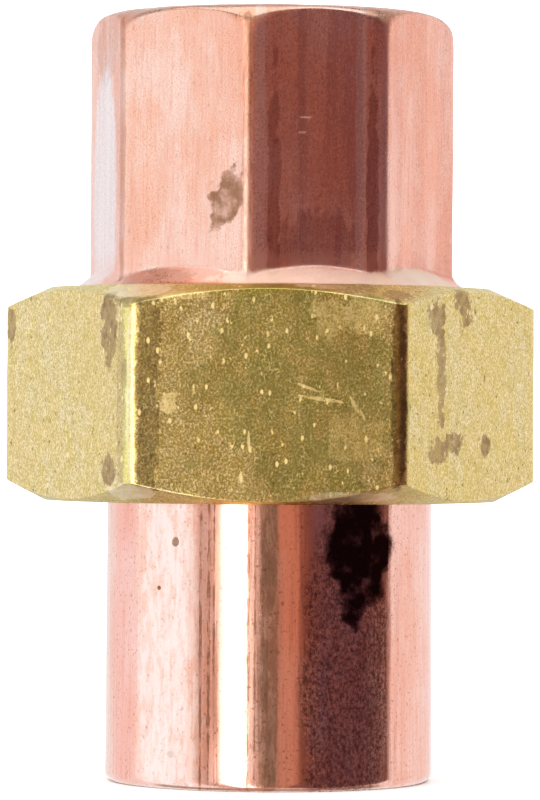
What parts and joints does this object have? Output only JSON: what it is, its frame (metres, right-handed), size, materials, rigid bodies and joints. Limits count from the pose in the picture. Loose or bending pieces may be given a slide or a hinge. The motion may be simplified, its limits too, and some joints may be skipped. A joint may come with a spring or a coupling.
{
  "type": "pipe union",
  "caption": "Straight union for half-inch copper tube, with a solder cup at each end, a hexagonal brass nut and an octagonal threaded body drawn together on a ball-and-cone seat.",
  "frame": {"origin": "on the pipe axis, at the lower rim of the tailpiece, on which the union can stand", "axes": "+Z along the pipe axis, from the tailpiece to the threaded body; +X through two corners of the nut at rest, so a pair of its flats faces along Y"},
  "size_m": [0.029, 0.0254, 0.0421],
  "materials": {
    "tailpiece_copper": "polished",
    "nut_brass": "satin",
    "body_copper": "satin"
  },
  "bodies": {
    "tailpiece": {"tailpiece": "tailpiece_copper"},
    "nut": {"union_nut": "nut_brass"},
    "threaded_body": {"threaded_body": "body_copper"}
  },
  "joints": [
    {"name": "nut_turn", "type": "hinge", "parent": "tailpiece", "child": "nut", "pos_m": [0, 0, 0.0212], "axis": [0, 0, -1], "range_deg": [0, 1530]},
    {"name": "body_draw", "type": "slide", "parent": "tailpiece", "child": "threaded_body", "axis": [0, 0, 1], "range_m": [0, 0.00675]}
  ],
  "couplings": [
    {"joint": "body_draw", "follows": "nut_turn", "m_per_rad": 0.00025266}
  ]
}
